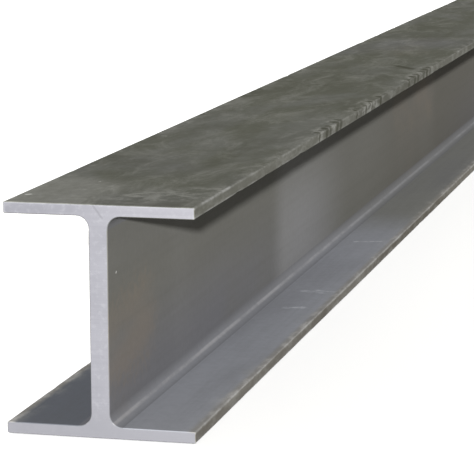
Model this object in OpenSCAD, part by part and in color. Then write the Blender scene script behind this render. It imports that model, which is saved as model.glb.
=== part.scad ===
// Hot-rolled H-beam: one bar of parallel-flange section, sawn square at both ends.
// Millimetres. The bar lies along Y on its bottom flange, with X across the flanges and Z up.
// The origin is at the middle of the underside.

/* [Section] */
// Depth of the section, over both flanges
depth = 240; // [160:5:400]
// Width of each flange
flange_w = 200; // [120:5:320]
// Thickness of each flange
flange_t = 12.5; // [8:0.5:25]
// Thickness of the web
web_t = 20; // [6:0.5:30]
// Radius of the four root fillets, where the web meets the flanges
root_r = 13; // [5:0.5:24]
// Radius on the rolled corners of the flange tips
toe_r = 1.5; // [0.5:0.25:3]

/* [Stock] */
// Length of the bar as sawn
bar_length = 6000; // [1000:100:12000]

/* [Hidden] */
// Each name here is one solid, and node picks one of them or all.
$fn = 64;
steel = [0.42, 0.42, 0.40];
// Height of the web between the two flanges' inner faces
web_h = depth - 2 * flange_t;

// Calls its children at all four mirror images about X and Y.
module four_corners() {
    for (across = [0, 1], up = [0, 1])
        mirror([across, 0]) mirror([0, up]) children();
}

// What a corner at the origin loses when it is rounded: a square less a quarter disc.
// The corner's material lies at negative X and negative Y.
module corner_waste(radius) {
    difference() {
        translate([-radius, -radius]) square([2 * radius, 2 * radius]);
        translate([-radius, -radius]) circle(r = radius);
        translate([-2 * radius, -2 * radius]) square([radius, 3 * radius]);
        translate([-2 * radius, -2 * radius]) square([3 * radius, radius]);
    }
}

// One flange, centred on its own thickness, with its four rounded toes.
module flange_section() {
    difference() {
        square([flange_w, flange_t], center = true);
        four_corners() translate([flange_w / 2, flange_t / 2]) corner_waste(toe_r);
    }
}

// The root fillet at the upper right of the web: it fills the inside corner at the origin.
module root_fillet() {
    difference() {
        square([root_r, root_r]);
        translate([root_r, root_r]) circle(r = root_r);
    }
}

// The whole section, centred on its own middle.
module beam_section() {
    union() {
        square([web_t, depth - flange_t], center = true);
        for (side = [-1, 1])
            translate([0, side * (depth - flange_t) / 2]) flange_section();
        four_corners()
            translate([web_t / 2, -web_h / 2]) root_fillet();
    }
}

// The bar: the section drawn out along Y and set down on its bottom flange.
module h_beam() {
    color(steel)
        translate([0, 0, depth / 2])
            rotate([90, 0, 0])
                linear_extrude(height = bar_length, center = true) beam_section();
}

h_beam();
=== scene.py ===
"""A hot-rolled steel H-beam, seen from in front of one sawn end.

The mesh is the rolled section drawn out along the bar. It has worn arrises, a few nicks, and the
slight unevenness of rolled steel. All lengths are in metres, in the part's own frame: X across the
flanges, Y along the bar and Z up.
"""
import math
import random

import bmesh
import bpy
from mathutils import Matrix, Vector, noise


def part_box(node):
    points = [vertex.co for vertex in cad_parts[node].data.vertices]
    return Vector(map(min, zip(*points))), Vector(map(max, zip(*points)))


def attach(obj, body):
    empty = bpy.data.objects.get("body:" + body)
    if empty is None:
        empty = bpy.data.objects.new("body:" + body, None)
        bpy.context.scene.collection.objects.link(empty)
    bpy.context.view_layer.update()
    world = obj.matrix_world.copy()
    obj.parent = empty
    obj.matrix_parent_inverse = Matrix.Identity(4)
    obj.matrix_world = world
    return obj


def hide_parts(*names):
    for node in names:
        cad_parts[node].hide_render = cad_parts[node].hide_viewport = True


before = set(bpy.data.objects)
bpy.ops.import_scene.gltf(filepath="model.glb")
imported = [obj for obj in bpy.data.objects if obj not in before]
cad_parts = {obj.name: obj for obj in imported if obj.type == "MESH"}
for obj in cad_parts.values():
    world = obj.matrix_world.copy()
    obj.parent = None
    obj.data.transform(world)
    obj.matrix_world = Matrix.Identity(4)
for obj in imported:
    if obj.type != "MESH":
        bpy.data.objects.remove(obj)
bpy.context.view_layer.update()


# ---------------------------------------------------------------- sizes of the rolled section
LOW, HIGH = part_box("h_beam")
WIDTH = HIGH.x - LOW.x
DEPTH = HIGH.z - LOW.z
Y_NEAR = LOW.y
Y_FAR = HIGH.y
LENGTH = Y_FAR - Y_NEAR
HALF_Y = (Y_NEAR + Y_FAR) / 2
WEB_T = 0.020
FLANGE_T = 0.0125
ROOT_R = 0.013
TOE_R = 0.0015
WEB_X = WEB_T / 2
TIP_X = WIDTH / 2

# ---------------------------------------------------------------- how finely the mesh is cut
WEB_CUTS = 4
FILLET_CUTS = 8
UNDER_CUTS = 3
TOE_CUTS = 3
TIP_CUTS = 2
TOP_CUTS = 5
RING_STEP = 0.010
# A flat has an extra point this close to each rounded corner, so that its shading stays flat.
GUARD = 0.0012
# The worn edge round a sawn end, and where the even run of rings begins behind it.
END_BEVEL = 0.0007
END_GUARD = 0.0016

# ---------------------------------------------------------------- unevenness of the rolled bar
WAVE_LONG = 0.55
WAVE_ACROSS = 0.16
WAVE_DEPTH = 0.0007
TIP_WAVE_LONG = 0.09
TIP_WAVES_A_METRE = 9
TIP_WAVE_DEPTH = 0.00035

# Nicks in the arrises of the flange tips. The random ones are spread over the whole bar.
SEED = 11
NICK_REACH = 0.004
NICKS_ALONG_AN_ARRIS = 26
NICK_END_GAP = 0.05
NICK_HALF_LENGTHS = (0.006, 0.026)
NICK_DEPTHS = (0.0002, 0.0011)

# Dents in the right tip of the top flange, by group: first and last place from the near end,
# how many, and how wide the mark round each is.
DENT_GROUPS = (
    (0.605, 0.730, 5, 0.0052),
    (0.850, 1.010, 4, 0.0042),
    (1.270, 1.470, 6, 0.0068),
)
DENT_JITTER = 0.020
DENT_HALF_LENGTH = 0.013
DENT_DEPTH = 0.0013
# Each dent is uneven by a share of one turn further than the dent before it.
UNEVEN_TURN = 0.618
MARK_LEAST = 0.65
MARK_SPREAD = 0.6


def lerp(a, b, t):
    return a + (b - a) * t


def smooth(t):
    """Eases t from 0 to 1."""
    t = min(max(t, 0.0), 1.0)
    return t * t * (3 - 2 * t)


def dents_of(group):
    """One group's dents, unevenly spaced: (place from the near end, radius of its mark)."""
    first, last, count, wide = group
    found = []
    for i in range(count):
        uneven = i * UNEVEN_TURN % 1
        place = lerp(first, last, i / (count - 1)) + DENT_JITTER * uneven
        found.append((place, wide * (MARK_LEAST + MARK_SPREAD * uneven)))
    return found


# ---------------------------------------------------------------- the outline of the section
def straight(start, end, normal, cuts, kind, guards=(True, True)):
    """Points along a flat of the section, with a guard point close to each guarded end."""
    start, end = Vector(start), Vector(end)
    length = (end - start).length
    stops = [GUARD / length] if guards[0] else []
    stops += [i / cuts for i in range(1, cuts)]
    stops += [1 - GUARD / length] if guards[1] else []
    return [(start.lerp(end, t), Vector(normal), kind) for t in stops]


def arc(centre, radius, start, end, cuts, inward, kind):
    """Points along a rounded corner, both ends included. Its normals point inward on a fillet."""
    found = []
    for i in range(cuts + 1):
        a = math.radians(lerp(start, end, i / cuts))
        out = Vector((math.cos(a), math.sin(a)))
        found.append((Vector(centre) + out * radius, -out if inward else out, kind))
    return found


def quarter():
    """The upper right quarter of the section, from mid web to the middle of the top."""
    under = DEPTH - FLANGE_T
    root = (WEB_X + ROOT_R, under - ROOT_R)
    low_toe = (TIP_X - TOE_R, under + TOE_R)
    high_toe = (TIP_X - TOE_R, DEPTH - TOE_R)
    middle, top = (WEB_X, DEPTH / 2), (0, DEPTH)
    path = [(Vector(middle), Vector((1, 0)), "web")]
    path += straight(middle, (WEB_X, root[1]), (1, 0), WEB_CUTS, "web", (False, True))
    path += arc(root, ROOT_R, 180, 90, FILLET_CUTS, True, "root")
    path += straight((root[0], under), (low_toe[0], under), (0, -1), UNDER_CUTS, "inner")
    path += arc(low_toe, TOE_R, -90, 0, TOE_CUTS, False, "toe")
    path += straight((TIP_X, low_toe[1]), (TIP_X, high_toe[1]), (1, 0), TIP_CUTS, "tip")
    path += arc(high_toe, TOE_R, 0, 90, TOE_CUTS, False, "toe")
    path += straight((high_toe[0], DEPTH), top, (0, 1), TOP_CUTS, "outer", (True, False))
    path.append((Vector(top), Vector((0, 1)), "outer"))
    return path


def mirrored(path, x, z):
    """A quarter turned over in X or Z, about the section's own middle."""
    turned = []
    for p, n, kind in path:
        p = Vector((p.x * x, DEPTH / 2 + (p.y - DEPTH / 2) * z))
        turned.append((p, Vector((n.x * x, n.y * z)), kind))
    return turned


def whole_section():
    """The closed outline, once round, with no point twice: (point, normal, kind of face)."""
    one = quarter()
    upper = one + mirrored(one, -1, 1)[-2::-1]
    lower = mirrored(one, -1, -1)[1:] + mirrored(one, 1, -1)[-2:0:-1]
    return upper + lower


# The arrises of the flange tips: (point of the section, the way a nick in it presses in).
ARRISES = [
    (Vector((x * TIP_X, z)), Vector((-x, into)).normalized())
    for x in (-1, 1)
    for z, into in ((0, 1), (FLANGE_T, -1), (DEPTH - FLANGE_T, 1), (DEPTH, -1))
]
LOWER_RIGHT, UPPER_RIGHT = 5, 7


def nearest_arris(point):
    """The nearest arris of a flange tip, by its place in ARRISES, and how far away it is."""
    apart = [(arris - point).length for arris, _ in ARRISES]
    return apart.index(min(apart)), min(apart)


SECTION = whole_section()
ROUND = len(SECTION)
NEAREST = [nearest_arris(p) for p, _, _ in SECTION]


# ---------------------------------------------------------------- nicks and waves
def all_nicks():
    """For each arris its nicks: (place along the bar, half length, depth)."""
    found = [[] for _ in ARRISES]
    found[UPPER_RIGHT] += [
        (Y_NEAR + 0.085, 0.010, 0.0007),
        (Y_NEAR + 0.260, 0.016, 0.0009),
    ]
    found[LOWER_RIGHT] += [
        (Y_NEAR + 0.180, 0.012, 0.0008),
        (Y_NEAR + 0.235, 0.010, 0.0007),
    ]
    for group in DENT_GROUPS:
        for place, _ in dents_of(group):
            found[UPPER_RIGHT].append((Y_NEAR + place, DENT_HALF_LENGTH, DENT_DEPTH))
    chance = random.Random(SEED)
    for nicks in found:
        for _ in range(NICKS_ALONG_AN_ARRIS):
            place = chance.uniform(Y_NEAR + NICK_END_GAP, Y_FAR - NICK_END_GAP)
            half_length = chance.uniform(*NICK_HALF_LENGTHS)
            nicks.append((place, half_length, chance.uniform(*NICK_DEPTHS)))
    return found


NICKS = all_nicks()


def nick_at(arris, away, y):
    """How far the nicks of an arris press in, at this distance from it round the section."""
    if away > NICK_REACH:
        return 0.0
    found = 0.0
    for place, half_length, deep in NICKS[arris]:
        t = abs(y - place) / half_length
        if t < 1:
            found = max(found, deep * smooth(1 - t))
    return found * smooth(1 - away / NICK_REACH)


def wave_at(point, kind, y):
    """How far the surface lies under the true section, from rolling. It is never above it."""
    spot = Vector((point.x / WAVE_ACROSS, y / WAVE_LONG, point.y / WAVE_ACROSS))
    sunk = WAVE_DEPTH * (0.5 + 0.5 * noise.noise(spot))
    if kind in ("tip", "toe"):
        x, z = point * TIP_WAVES_A_METRE
        spot = Vector((x, y / TIP_WAVE_LONG, z))
        sunk += TIP_WAVE_DEPTH * (0.5 + 0.5 * noise.noise(spot))
    return max(sunk, 0.0)


# ---------------------------------------------------------------- the beam's mesh
def ring_places():
    """Where along the bar a ring of points goes, with its inset: (y, inset)."""
    cuts = 2 * round((LENGTH - 2 * END_GUARD) / RING_STEP / 2)
    first, last = Y_NEAR + END_GUARD, Y_FAR - END_GUARD
    inner = [(lerp(first, last, i / cuts), 0.0) for i in range(cuts + 1)]
    near = [(Y_NEAR, END_BEVEL), (Y_NEAR + END_BEVEL, 0.0)]
    far = [(Y_FAR - END_BEVEL, 0.0), (Y_FAR, END_BEVEL)]
    return near + inner + far


RINGS = ring_places()


def all_verts():
    """The points of the mesh, ring after ring along the bar."""
    found = []
    for y, inset in RINGS:
        for (p, n, kind), (arris, away) in zip(SECTION, NEAREST):
            place = p - n * (inset + wave_at(p, kind, y))
            place = place + ARRISES[arris][1] * nick_at(arris, away, y)
            found.append((place.x, y, place.y))
    return found


def side_faces():
    """The faces between each ring and the next one."""
    found = []
    for ring in range(len(RINGS) - 1):
        a, b = ring * ROUND, (ring + 1) * ROUND
        for j in range(ROUND):
            k = (j + 1) % ROUND
            found.append((a + j, a + k, b + k, b + j))
    return found


verts = all_verts()
sides = side_faces()
last_ring = (len(RINGS) - 1) * ROUND
sawn_ends = [tuple(reversed(range(ROUND))), tuple(range(last_ring, last_ring + ROUND))]

mesh = bpy.data.meshes.new("h_beam_rolled")
mesh.from_pydata(verts, [], sides + sawn_ends)
beam = bpy.data.objects.new("h_beam_rolled", mesh)
bpy.context.scene.collection.objects.link(beam)

# The sawn ends take the second material, and the edge between the two materials is sharp.
bm = bmesh.new()
bm.from_mesh(mesh)
caps = list(bm.faces)[len(sides):]
for cap in caps:
    cap.material_index = 1
for f in bm.faces:
    f.smooth = f.material_index == 0
bmesh.ops.triangulate(bm, faces=caps, ngon_method="BEAUTY")
bmesh.ops.recalc_face_normals(bm, faces=bm.faces)
for e in bm.edges:
    e.smooth = len({f.material_index for f in e.link_faces}) == 1
bm.to_mesh(mesh)
bm.free()


def give_attribute(name, kind, field, once_round):
    """Stores a value for each point of the section, the same on every ring."""
    data = mesh.attributes.new(name, kind, "POINT").data
    data.foreach_set(field, once_round * len(RINGS))


# Distance to the nearest arris, which way the true section faces, and 1 in the root fillets.
give_attribute("arris_dist", "FLOAT", "value", [away for _, away in NEAREST])
give_attribute(
    "facing", "FLOAT_VECTOR", "vector", [c for _, n, _ in SECTION for c in (n.x, 0.0, n.y)]
)
give_attribute("root", "FLOAT", "value", [float(kind == "root") for _, _, kind in SECTION])

# ---------------------------------------------------------------- the map its textures bake through
# The rolled faces lie unrolled in two halves, side by side, and the sawn ends lie beyond them.
MAP_GAP = 0.014
MAP_SIDE = LENGTH / 2 + 2 * MAP_GAP
END_ZOOM = 2.0
around = [0.0]
for j in range(ROUND):
    around.append(around[-1] + (SECTION[(j + 1) % ROUND][0] - SECTION[j][0]).length)
GIRTH = around[-1]


def map_place(vert, sawn, far_half, over_seam):
    """Where a corner of a face lies on the map, in metres of steel."""
    x, y, z = verts[vert]
    if sawn:
        u = MAP_GAP * 2 + (x - LOW.x) * END_ZOOM
        u += far_half * (WIDTH * END_ZOOM + MAP_GAP * 2)
        return u, 2 * GIRTH + 4 * MAP_GAP + (z - LOW.z) * END_ZOOM
    j = vert % ROUND
    at = GIRTH if over_seam and j == 0 else around[j]
    u = MAP_GAP + y - (HALF_Y if far_half else Y_NEAR)
    return u, MAP_GAP + at + far_half * (GIRTH + MAP_GAP)


layer = mesh.uv_layers.new(name="OFBake")
for poly in mesh.polygons:
    ids = [mesh.loops[i].vertex_index for i in poly.loop_indices]
    far_half = sum(verts[v][1] for v in ids) / len(ids) > HALF_Y
    over_seam = max(v % ROUND for v in ids) == ROUND - 1
    for i, v in zip(poly.loop_indices, ids):
        u, w = map_place(v, poly.material_index == 1, far_half, over_seam)
        layer.data[i].uv = (u / MAP_SIDE, w / MAP_SIDE)

# ---------------------------------------------------------------- colours, as linear RGB
# The rolled faces.
OLIVE = (0.047, 0.048, 0.040)
GREY = (0.059, 0.060, 0.055)
WEB_GREY = (0.062, 0.061, 0.056)
WEB_LIGHT = (0.070, 0.069, 0.064)
BLUE = (0.067, 0.067, 0.073)
BAND = (0.112, 0.112, 0.114)
DINGY = (0.048, 0.045, 0.039)
TRAY_BLUE_AND_SHEEN = (0.130, 0.134, 0.149)
TRAY_PAINTED_SHADE = (0.047, 0.050, 0.058)
TRAY_OLIVE = (0.080, 0.080, 0.073)
ROOT_PAINTED_SHADE = (0.066, 0.067, 0.073)
ROOT_PAINTED_HIGHLIGHT = (0.133, 0.132, 0.139)
TIP_BROWNS = ((0.052, 0.047, 0.039), (0.078, 0.073, 0.064))
TIP_GREYS = ((0.045, 0.045, 0.038), (0.060, 0.060, 0.052))
RIM_COLOURS = ((0.110, 0.105, 0.096), (0.205, 0.200, 0.195))
DARK = (0.026, 0.026, 0.020)
PALE = (0.130, 0.130, 0.122)
BARE_AND_GLINT = (0.20, 0.20, 0.20)
SCRATCHED = (0.36, 0.36, 0.35)
SMEARED = (0.24, 0.25, 0.27)
RUST = (0.088, 0.073, 0.058)
# The sawn ends.
SAWN_BASE = ((0.054, 0.054, 0.061), (0.063, 0.063, 0.071))
SAWN_RIGHT = (0.088, 0.087, 0.095)
SAWN_LINE = (0.047, 0.047, 0.054)
SAWN_MOTTLE = (0.094, 0.094, 0.101)
SAWN_RIM_HIGHLIGHT = (0.125, 0.125, 0.135)
SAWN_LOW = (0.062, 0.062, 0.068)
SAWN_FAR_PAINTED_LIGHT = ((0.16, 0.16, 0.175), (0.20, 0.20, 0.215))
SAWN_SCRATCH = (0.030, 0.030, 0.034)

# ---------------------------------------------------------------- single marks
# Start, end, radius and strength. Each end is (x, distance from the near sawn end, z).
SCRATCHES = (
    ((-0.091, 0.049, DEPTH), (-0.088, 0.052, DEPTH), 0.0028, 0.7),
    ((-0.045, 0.150, DEPTH), (-0.044, 0.153, DEPTH), 0.0012, 0.4),
    ((-0.085, 0.542, DEPTH), (-0.080, 0.542, DEPTH), 0.0022, 0.35),
    ((WEB_X, 0.028, 0.166), (WEB_X, 0.029, 0.167), 0.0012, 1.0),
)
SMEARS = (
    ((0.050, 0.746, FLANGE_T), (0.078, 0.738, FLANGE_T), 0.0046, 1.0),
    ((0.066, 0.756, FLANGE_T), (0.088, 0.748, FLANGE_T), 0.0036, 1.0),
    ((0.050, 0.633, FLANGE_T), (0.070, 0.640, FLANGE_T), 0.0048, 1.0),
    ((0.045, 1.135, FLANGE_T), (0.080, 1.146, FLANGE_T), 0.0034, 1.0),
)
RUST_PATCHES = (
    ((WEB_X, 0.030, 0.092), (WEB_X, 0.130, 0.100), 0.040, 1.0),
    ((WEB_X, 1.72, 0.165), (WEB_X, 2.02, 0.155), 0.060, 0.7),
)
DARK_SMEAR = ((0.040, 1.50, DEPTH), (0.075, 1.45, DEPTH), 0.006)
WORN_CORNER = ((-0.095, 0.0, DEPTH), (-0.08, 0.10, DEPTH), 0.105)
GRAZED = ((0.030, 0.055, DEPTH), (0.085, 0.10, DEPTH), 0.050)
END_SCRATCH = ((-0.005, 0.0, 0.2385), (0.0045, 0.0, 0.226), 0.0014)
# A dent's mark runs from this far below the top arris to this far over it, and drifts along.
DENT_BELOW = 0.008
DENT_OVER = 0.006
DENT_DRIFT = 0.012
RUBBED_OVER = 0.003
RUBBED_RADIUS = 0.011
# A mark is full inside this share of its radius. A ragged one is widened, and noise eats into it.
MARK_CORE = 0.45
RAGGED_WIDER = 1.8
RAGGED_NOISE = 2.4

# How a shift of the noise is shared out between the axes.
SHIFT_BY_AXIS = (1.0, 1.7, 0.6)


# ---------------------------------------------------------------- materials
class Nodes:
    """Short ways to add shader nodes to one material and link them."""

    def __init__(self, name):
        self.mat = bpy.data.materials.new(name)
        self.mat.use_nodes = True
        self.tree = self.mat.node_tree
        self.shader = self.tree.nodes["Principled BSDF"]
        self.place = self.add("TexCoord").outputs["Object"]
        self.across, self.lengthwise, self.height = self.parts(self.place)

    def add(self, kind):
        return self.tree.nodes.new("ShaderNode" + kind)

    def put(self, socket, value):
        """Links an output to a socket, or sets the socket to a plain value."""
        if isinstance(value, bpy.types.NodeSocket):
            self.tree.links.new(value, socket)
        elif value is not None:
            socket.default_value = value

    def math(self, kind, a, b=None, c=None, clamp=False):
        n = self.add("Math")
        n.operation = kind
        n.use_clamp = clamp
        for socket, value in zip(n.inputs, (a, b, c)):
            self.put(socket, value)
        return n.outputs[0]

    def vector(self, kind, a, b=None):
        """A vector operation. A dot product or a length gives a number."""
        n = self.add("VectorMath")
        n.operation = kind
        self.put(n.inputs[0], a)
        self.put(n.inputs["Scale"] if kind == "SCALE" else n.inputs[1], b)
        return n.outputs["Value" if kind in ("DOT_PRODUCT", "LENGTH") else "Vector"]

    def attribute(self, name, output="Fac"):
        n = self.add("Attribute")
        n.attribute_name = name
        return n.outputs[output]

    def parts(self, vector):
        """The X, Y and Z of a vector."""
        n = self.add("SeparateXYZ")
        self.put(n.inputs[0], vector)
        return tuple(n.outputs)

    def noise(self, scale, detail, rough, stretch=(1, 1, 1), shift=0.0, warp=0.0):
        """Noise of so many features a metre, from 0 to 1, stretched by axis and shifted."""
        m = self.add("Mapping")
        self.put(m.inputs["Vector"], self.place)
        m.inputs["Scale"].default_value = stretch
        m.inputs["Location"].default_value = [shift * share for share in SHIFT_BY_AXIS]
        n = self.add("TexNoise")
        self.put(n.inputs["Vector"], m.outputs[0])
        n.inputs["Scale"].default_value = scale
        n.inputs["Detail"].default_value = detail
        n.inputs["Roughness"].default_value = rough
        n.inputs["Distortion"].default_value = warp
        return n.outputs["Fac"]

    def ramp(self, value, low, high, to_low=0.0, to_high=1.0):
        """value eased from low..high to to_low..to_high."""
        n = self.add("MapRange")
        n.interpolation_type = "SMOOTHSTEP"
        names = ("Value", "From Min", "From Max", "To Min", "To Max")
        for name, v in zip(names, (value, low, high, to_low, to_high)):
            self.put(n.inputs[name], v)
        return n.outputs[0]

    def mix(self, share, a, b):
        """Colour a, with this share of colour b over it."""
        n = self.add("Mix")
        n.data_type = "RGBA"
        n.clamp_result = False
        self.put(n.inputs[0], share)
        for socket, value in ((n.inputs[6], a), (n.inputs[7], b)):
            if isinstance(value, tuple):
                value = (*value, 1.0)
            self.put(socket, value)
        return n.outputs[2]

    def most(self, *masks):
        """The largest of several masks."""
        found = masks[0]
        for m in masks[1:]:
            found = self.math("MAXIMUM", found, m)
        return found

    def times(self, *masks):
        """The product of several masks or numbers."""
        found = masks[0]
        for m in masks[1:]:
            found = self.math("MULTIPLY", found, m)
        return found

    def specks(self, per_metre, size, share):
        """A mask of small round spots. About this share of the cells of a grid holds one."""
        n = self.add("TexVoronoi")
        self.put(n.inputs["Vector"], self.place)
        n.inputs["Scale"].default_value = per_metre
        spot = self.ramp(n.outputs["Distance"], size * per_metre, size * per_metre * 0.4)
        kept = self.math("LESS_THAN", self.parts(n.outputs["Color"])[0], share)
        return self.times(spot, kept)

    def mark(self, start, end, radius, ragged=None):
        """A mask of a short stroke, which fades out at its radius. Its ends are as in SCRATCHES."""
        start, end = (Vector((x, Y_NEAR + along, z)) for x, along, z in (start, end))
        way = end - start
        rel = self.vector("SUBTRACT", self.place, tuple(start))
        gone = self.vector("DOT_PRODUCT", rel, tuple(way / way.length_squared))
        gone = self.math("ADD", gone, 0.0, clamp=True)
        rel = self.vector("SUBTRACT", rel, self.vector("SCALE", tuple(way), gone))
        away = self.vector("LENGTH", rel)
        if ragged is not None:
            away = self.math("MULTIPLY_ADD", ragged, radius * RAGGED_NOISE, away)
            radius = radius * RAGGED_WIDER
        return self.ramp(away, radius, radius * MARK_CORE)

    def marks(self, table, ragged=None):
        """A mask of all the marks of a table, each as strong as it says."""
        return self.most(
            *[
                self.times(self.mark(start, end, radius, ragged), strength)
                for start, end, radius, strength in table
            ]
        )

    def bump(self, height, distance, strength, normal=None):
        n = self.add("Bump")
        n.inputs["Strength"].default_value = strength
        n.inputs["Distance"].default_value = distance
        self.put(n.inputs["Height"], height)
        self.put(n.inputs["Normal"], normal)
        return n.outputs[0]


class MillScale(Nodes):
    """The rolled faces. What several layers share is made once, and then come the layers."""

    def __init__(self):
        super().__init__("mill_scale")
        sideways, _, self.upward = self.parts(self.attribute("facing", "Vector"))
        self.side = self.math("ABSOLUTE", sideways)
        self.along = self.math("SUBTRACT", self.lengthwise, Y_NEAR)
        self.arris = self.attribute("arris_dist")
        up = self.math("MAXIMUM", self.upward, 0.0)
        self.top = self.times(up, self.ramp(self.height, DEPTH * 0.90, DEPTH * 0.97))
        self.tray = self.times(up, self.ramp(self.height, DEPTH * 0.35, DEPTH * 0.10))
        self.high_up = self.ramp(self.height, DEPTH * 0.80, DEPTH * 0.90)
        self.zones = self.noise(2.1, 3, 0.5, shift=3.1)
        self.rolled = self.noise(9, 5, 0.6, stretch=(1, 0.16, 1), shift=2.7)
        scuffs = self.noise(60, 5, 0.7, stretch=(1, 0.35, 1), shift=6.1)
        self.scuffs = self.ramp(scuffs, 0.44, 0.68)
        self.ragged = self.math("SUBTRACT", self.noise(130, 5, 0.7, shift=3.7), 0.42)
        self.dents, self.rubbed = self.dents_and_rubbed()

    def dents_and_rubbed(self):
        """Masks of the dents in the top flange's right tip, and of the rubbed metal by them."""
        dents, rubbed = [], []
        for group in DENT_GROUPS:
            for y, wide in dents_of(group):
                low = (TIP_X, y, DEPTH - DENT_BELOW)
                over = (TIP_X - DENT_OVER, y + DENT_DRIFT, DEPTH)
                dents.append(self.mark(low, over, wide, self.ragged))
            first, last = ((TIP_X - RUBBED_OVER, y, DEPTH) for y in group[:2])
            rubbed.append(self.mark(first, last, RUBBED_RADIUS, self.ragged))
        return self.most(*dents), self.most(*rubbed)

    def web(self):
        """The web is even, and runs from warm grey above to a bluer grey below."""
        along = self.along
        colour = self.mix(self.ramp(self.rolled, 0.34, 0.68, 0, 0.5), WEB_GREY, WEB_LIGHT)
        low_down = self.ramp(self.height, DEPTH * 0.62, DEPTH * 0.12)
        cool = self.most(self.ramp(along, 1.25, 0.85), self.ramp(along, 1.9, 2.8))
        cool = self.times(cool, self.ramp(self.zones, 0.30, 0.55, 0.45, 1.0))
        colour = self.mix(self.times(low_down, cool), colour, BLUE)

        # Paler bands stand across it. The clearest one is about 0.8 m from the near end.
        clearest = self.times(
            self.ramp(along, 0.72, 0.82, 0, 0.62),
            self.ramp(along, 1.30, 0.88),
            self.ramp(self.height, DEPTH * 0.85, DEPTH * 0.30, 0.25, 1.0),
        )
        bands = self.noise(1.5, 3, 0.55, stretch=(0.05, 1, 0.05), shift=4.2)
        bands = self.most(clearest, self.ramp(bands, 0.50, 0.68, 0, 0.24))
        colour = self.mix(bands, colour, BAND)

        # It is dingier from about 1.5 m to 3 m.
        dingy = self.times(self.ramp(along, 1.30, 1.90, 0, 0.55), self.ramp(along, 3.4, 2.4))
        return self.mix(dingy, colour, DINGY)

    def deck(self):
        """The top is olive and grey in patches as big as a palm, with darker smudges."""
        patches = self.noise(10, 5, 0.6, stretch=(1, 0.30, 1), warp=0.5)
        colour = self.mix(self.ramp(patches, 0.38, 0.62), OLIVE, GREY)
        colour = self.mix(self.ramp(self.zones, 0.55, 0.72, 0, 0.4), colour, BLUE)
        smudge = self.noise(8, 6, 0.66, stretch=(1, 0.45, 1), shift=9.4, warp=1.0)
        colour = self.mix(self.ramp(smudge, 0.48, 0.72, 0, 0.32), colour, DARK)
        bloom = self.noise(20, 7, 0.76, stretch=(1, 0.35, 1), shift=5.5, warp=0.6)
        bloom = self.ramp(bloom, 0.44, 0.76, 0, 0.42)
        colour = self.mix(bloom, colour, PALE)

        # The near left corner is worn pale, and the near right one is grazed.
        worn = self.times(self.mark(*WORN_CORNER), self.ramp(bloom, 0, 0.3, 0.55, 1.0))
        colour = self.mix(self.times(worn, 0.75), colour, PALE)
        broken = self.ramp(self.noise(55, 6, 0.7, shift=4.4), 0.40, 0.62)
        return self.mix(self.times(self.mark(*GRAZED), broken, 0.55), colour, PALE)

    def tray_face(self):
        """The upper face of the bottom flange is a paler blue-grey, partly painted sheen, going
        olive further along. Its left side is painted darker as painted shade.
        """
        browner = self.math("MULTIPLY_ADD", self.zones, 0.9, self.along)
        colour = self.mix(self.ramp(browner, 1.45, 1.95, 0, 0.85), TRAY_BLUE_AND_SHEEN, TRAY_OLIVE)
        colour = self.mix(self.ramp(self.rolled, 0.42, 0.70, 0, 0.35), colour, BLUE)
        # Painted shade: the left side is painted darker, most strongly towards the near end.
        left = self.ramp(self.across, WEB_X, -WEB_X)
        left = self.times(left, self.ramp(self.along, 1.4, 0.7, 0.45, 1.0))
        return self.mix(left, colour, TRAY_PAINTED_SHADE)

    def roots(self, colour):
        """The root fillets are painted darker, as painted shade against the extra light they catch,
        but for a thin painted highlight low down.
        """
        root = self.attribute("root")
        # Painted shade: the fillets are painted darker to offset the light they catch.
        colour = self.mix(self.times(root, 0.60), colour, ROOT_PAINTED_SHADE)
        # Painted highlight: a thin, broken pale line low on each fillet.
        line = self.math("ABSOLUTE", self.math("SUBTRACT", self.upward, 0.74))
        broken = self.noise(30, 5, 0.7, stretch=(1, 0.3, 1), shift=0.8)
        line = self.times(
            self.ramp(line, 0.15, 0.03),
            self.ramp(broken, 0.38, 0.58, 0.3, 1.0),
            self.ramp(self.along, 1.6, 0.7, 0.40, 0.80),
        )
        return self.mix(self.times(root, line), colour, ROOT_PAINTED_HIGHLIGHT)

    def tips(self, colour):
        """The bottom flange's tips are browner than the web. The top's are like its face."""
        tip = self.times(self.side, self.ramp(self.arris, 0.020, 0.010), 0.85)
        share = self.ramp(self.rolled, 0.40, 0.62)
        browns, greys = self.mix(share, *TIP_BROWNS), self.mix(share, *TIP_GREYS)
        return self.mix(tip, colour, self.mix(self.high_up, browns, greys))

    def streaks(self, colour):
        """Fine drawn streaks from the rolls."""
        streaks = self.noise(4, 5, 0.7, stretch=(30, 0.6, 30), shift=1.3)
        return self.mix(self.ramp(streaks, 0.40, 0.75, 0, 0.09), colour, DARK)

    def rust(self, colour):
        """Two faint brown patches on the web, and a little more here and there."""
        stray = self.ramp(self.noise(1.7, 4, 0.6, shift=8.8), 0.60, 0.74, 0, 0.6)
        rusty = self.most(self.marks(RUST_PATCHES, self.ragged), self.times(stray, self.side))
        bloomed = self.noise(16, 4, 0.55, stretch=(1, 0.4, 1), shift=2.2)
        bloomed = self.ramp(bloomed, 0.20, 0.66)
        return self.mix(self.times(rusty, bloomed, 0.45), colour, RUST)

    def wear(self, colour):
        """The strip beside each arris is scuffed, and the arris itself is worn nearly bright,
        partly as a painted glint.
        """
        strip = self.times(self.ramp(self.arris, 0.026, 0.003, 0, 0.40), self.scuffs)
        colour = self.mix(strip, colour, PALE)
        tray_rim = self.times(self.tray, self.ramp(self.arris, 0.012, 0.003, 0, 0.75))
        colour = self.mix(tray_rim, colour, self.mix(self.scuffs, *RIM_COLOURS))

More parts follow.
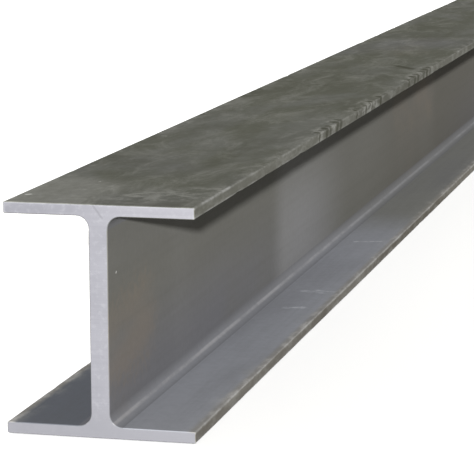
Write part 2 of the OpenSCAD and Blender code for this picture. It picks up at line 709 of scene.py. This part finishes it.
        # The worn arris of the top, with its painted glint, is duller further along.
        patchy = self.ramp(self.noise(9, 5, 0.75, shift=1.9), 0.36, 0.70)
        dulled = self.times(self.high_up, self.ramp(self.along, 0.40, 0.75))
        kept = self.math("MULTIPLY_ADD", dulled, -0.7, 1.0)
        # Worn bare steel on each arris, partly a painted glint.
        worn = self.times(self.ramp(self.arris, 0.0036, 0.0008), patchy, kept)
        return self.mix(self.times(worn, 0.60), colour, BARE_AND_GLINT)

    def scratches(self, colour):
        """Scratches, and specks of bare steel."""
        specks = self.times(self.specks(19, 0.0014, 0.05), 0.7)
        found = self.most(self.marks(SCRATCHES), specks)
        return self.mix(self.times(found, 0.8), colour, SCRATCHED)

    def smears(self, colour):
        """Short pale smears on the bottom flange, hatched by the roughness under them."""
        hatch = self.noise(180, 4, 0.7, stretch=(0.4, 1, 1), shift=2.9)
        hatch = self.ramp(hatch, 0.40, 0.60)
        share = self.times(self.marks(SMEARS, self.ragged), hatch, 0.52)
        return self.mix(share, colour, SMEARED)

    def dented(self, colour):
        """The dents are dark in rubbed pale metal. A dark smear lies on the top beside them."""
        colour = self.mix(self.times(self.rubbed, self.scuffs, 0.75), colour, PALE)
        dark = self.most(self.dents, self.mark(*DARK_SMEAR, self.ragged))
        return self.mix(self.times(dark, 0.75), colour, DARK)

    def speckle(self, colour):
        """Fine dark speckle, stronger on the top."""
        fine = self.ramp(self.noise(110, 5, 0.7, shift=7.7), 0.28, 0.72)
        share = self.math("MULTIPLY_ADD", self.top, 0.14, 0.10)
        return self.mix(self.times(fine, share), colour, DARK)


def mill_scale():
    """The rolled faces: dull mill scale, mottled, with scuffs, streaks and worn arrises."""
    k = MillScale()
    colour = k.mix(k.top, k.web(), k.deck())
    colour = k.mix(k.tray, colour, k.tray_face())
    layers = (k.roots, k.tips, k.streaks, k.rust, k.wear, k.scratches, k.smears)
    for layer_over in (*layers, k.dented, k.speckle):
        colour = layer_over(colour)
    k.put(k.shader.inputs["Base Color"], colour)
    k.shader.inputs["Specular IOR Level"].default_value = 0.0
    gloss = k.ramp(k.noise(7, 5, 0.6, shift=4.9), 0.25, 0.75, 0.52, 0.66)
    k.put(k.shader.inputs["Roughness"], gloss)

    grain = k.bump(k.noise(420, 3, 0.6), 0.00012, 0.35)
    dimples = k.noise(28, 2, 0.5, stretch=(1, 0.5, 1), shift=3.3)
    dimples = k.bump(dimples, 0.0006, 0.12, grain)
    k.put(k.shader.inputs["Normal"], k.bump(k.dents, 0.0012, -0.8, dimples))
    return k.mat


def sawn_steel():
    """The sawn ends: clean pale steel with the saw's fine lines across it."""
    k = Nodes("sawn_steel")
    cloud = k.noise(22, 5, 0.6, shift=2.0)
    colour = k.mix(k.ramp(cloud, 0.3, 0.7), *SAWN_BASE)
    colour = k.mix(k.ramp(k.across, -TIP_X, TIP_X, 0, 0.75), colour, SAWN_RIGHT)
    lines = k.noise(3, 4, 0.7, stretch=(1, 1, 260), shift=5.0)
    colour = k.mix(k.ramp(lines, 0.35, 0.70, 0, 0.22), colour, SAWN_LINE)
    mottle = k.ramp(k.noise(150, 4, 0.7, shift=6.6), 0.50, 0.66, 0, 0.35)
    colour = k.mix(mottle, colour, SAWN_MOTTLE)

    # A thin painted highlight, broken here and there, round the outside of the flanges, where the
    # worn edge would catch the light.
    from_middle = k.math("ABSOLUTE", k.math("SUBTRACT", k.height, DEPTH / 2))
    rim = k.most(
        k.ramp(k.math("ABSOLUTE", k.across), TIP_X - 0.0026, TIP_X - 0.0010),
        k.ramp(from_middle, DEPTH / 2 - 0.0024, DEPTH / 2 - 0.0008),
    )
    broken = k.ramp(k.noise(70, 5, 0.7, shift=0.6), 0.36, 0.60, 0.15, 1.0)
    colour = k.mix(k.times(rim, broken, 0.65), colour, SAWN_RIM_HIGHLIGHT)
    colour = k.mix(k.ramp(k.height, 0.050, 0.004, 0, 0.75), colour, SAWN_LOW)

    # The far end is in the shade, so it is painted a little paler: painted light that offsets its
    # shade.
    far_end_painted_light = k.times(k.ramp(k.lengthwise, Y_NEAR, Y_FAR), 0.80)
    colour = k.mix(far_end_painted_light, colour, k.mix(mottle, *SAWN_FAR_PAINTED_LIGHT))
    colour = k.mix(k.times(k.mark(*END_SCRATCH), 0.30), colour, SAWN_SCRATCH)
    k.put(k.shader.inputs["Base Color"], colour)
    k.shader.inputs["Metallic"].default_value = 0.25
    k.shader.inputs["Specular IOR Level"].default_value = 0.2
    k.put(k.shader.inputs["Roughness"], k.ramp(cloud, 0.2, 0.8, 0.50, 0.60))
    k.put(k.shader.inputs["Normal"], k.bump(lines, 0.0001, 0.6))
    return k.mat


mesh.materials.append(mill_scale())
mesh.materials.append(sawn_steel())
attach(beam, "root")
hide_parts("h_beam")

# ---------------------------------------------------------------- floor, light and camera
FLOOR_HALF = 30.0
FLOOR_DROP = 0.0004
FLOOR_COLOUR = (0.60, 0.602, 0.61, 1)
floor_mesh = bpy.data.meshes.new("floor")
floor_mesh.from_pydata(
    [(x * FLOOR_HALF, y * FLOOR_HALF, 0) for x, y in ((-1, -1), (1, -1), (1, 1), (-1, 1))],
    [],
    [(0, 1, 2, 3)],
)
floor = bpy.data.objects.new("floor", floor_mesh)
floor.location.z = LOW.z - FLOOR_DROP
bpy.context.scene.collection.objects.link(floor)
floor_mat = bpy.data.materials.new("pale_floor")
floor_mat.use_nodes = True
floor_shader = floor_mat.node_tree.nodes["Principled BSDF"]
floor_shader.inputs["Base Color"].default_value = FLOOR_COLOUR
floor_shader.inputs["Roughness"].default_value = 0.9
floor_shader.inputs["Specular IOR Level"].default_value = 0.1
floor_mesh.materials.append(floor_mat)

# The studio lights the beam warmly from all round. Seen directly, the backdrop is white.
WORLD_COLOUR = (1.0, 0.965, 0.84, 1)
WORLD_STRENGTH = 0.49
BACKDROP_COLOUR = (1.0, 1.0, 1.0, 1)
world = bpy.data.worlds.new("studio")
bpy.context.scene.world = world
world.use_nodes = True
nodes, links = world.node_tree.nodes, world.node_tree.links
sky = nodes["Background"]
sky.inputs["Color"].default_value = WORLD_COLOUR
sky.inputs["Strength"].default_value = WORLD_STRENGTH
backdrop = nodes.new("ShaderNodeBackground")
backdrop.inputs["Color"].default_value = BACKDROP_COLOUR
seen = nodes.new("ShaderNodeLightPath")
either = nodes.new("ShaderNodeMixShader")
links.new(seen.outputs["Is Camera Ray"], either.inputs[0])
links.new(sky.outputs[0], either.inputs[1])
links.new(backdrop.outputs[0], either.inputs[2])
links.new(either.outputs[0], nodes["World Output"].inputs[0])

# The key light comes from just above the camera, and is a little soft.
KEY_DIRECTION = Vector((-0.235, 0.952, -0.198))
KEY_STRENGTH = 20.8
KEY_SOFTNESS = 1.5
# A weaker, softer fill comes from the left and behind.
FILL_DIRECTION = Vector((0.75, -0.50, -0.36))
FILL_STRENGTH = 4.8
FILL_SOFTNESS = 40.0


def parallel_light(name, direction, strength, softness):
    """A distant lamp that shines along a direction. Its softness is in degrees."""
    data = bpy.data.lights.new(name, "SUN")
    data.energy = strength
    data.angle = math.radians(softness)
    lamp = bpy.data.objects.new(name, data)
    lamp.rotation_euler = direction.to_track_quat("-Z", "Y").to_euler()
    bpy.context.scene.collection.objects.link(lamp)


parallel_light("key", KEY_DIRECTION, KEY_STRENGTH, KEY_SOFTNESS)
parallel_light("fill", FILL_DIRECTION, FILL_STRENGTH, FILL_SOFTNESS)

# The camera looks along the bar at its near sawn end, from a little to the right and above.
CAMERA_PLACE = (0.6716, Y_NEAR - 2.1477, 0.5904)
CAMERA_HEADING = 13.832
CAMERA_PITCH = -9.700
CAMERA_ROLL = 0.209
CAMERA_LENS = 173.58
SENSOR = 36.0
camera_data = bpy.data.cameras.new("camera")
camera_data.sensor_width = SENSOR
camera_data.lens = CAMERA_LENS
camera_data.clip_start = 0.05
camera_data.clip_end = 200.0
camera = bpy.data.objects.new("camera", camera_data)
turn = Matrix.Rotation(math.radians(CAMERA_HEADING), 4, "Z")
turn @= Matrix.Rotation(math.radians(CAMERA_PITCH), 4, "X")
turn @= Matrix.Rotation(math.radians(CAMERA_ROLL), 4, "Y")
turn @= Matrix.Rotation(math.radians(90), 4, "X")
camera.matrix_world = Matrix.Translation(CAMERA_PLACE) @ turn
bpy.context.scene.collection.objects.link(camera)
bpy.context.scene.camera = camera
bpy.context.scene.view_settings.view_transform = "Standard"

bpy.context.view_layer.update()
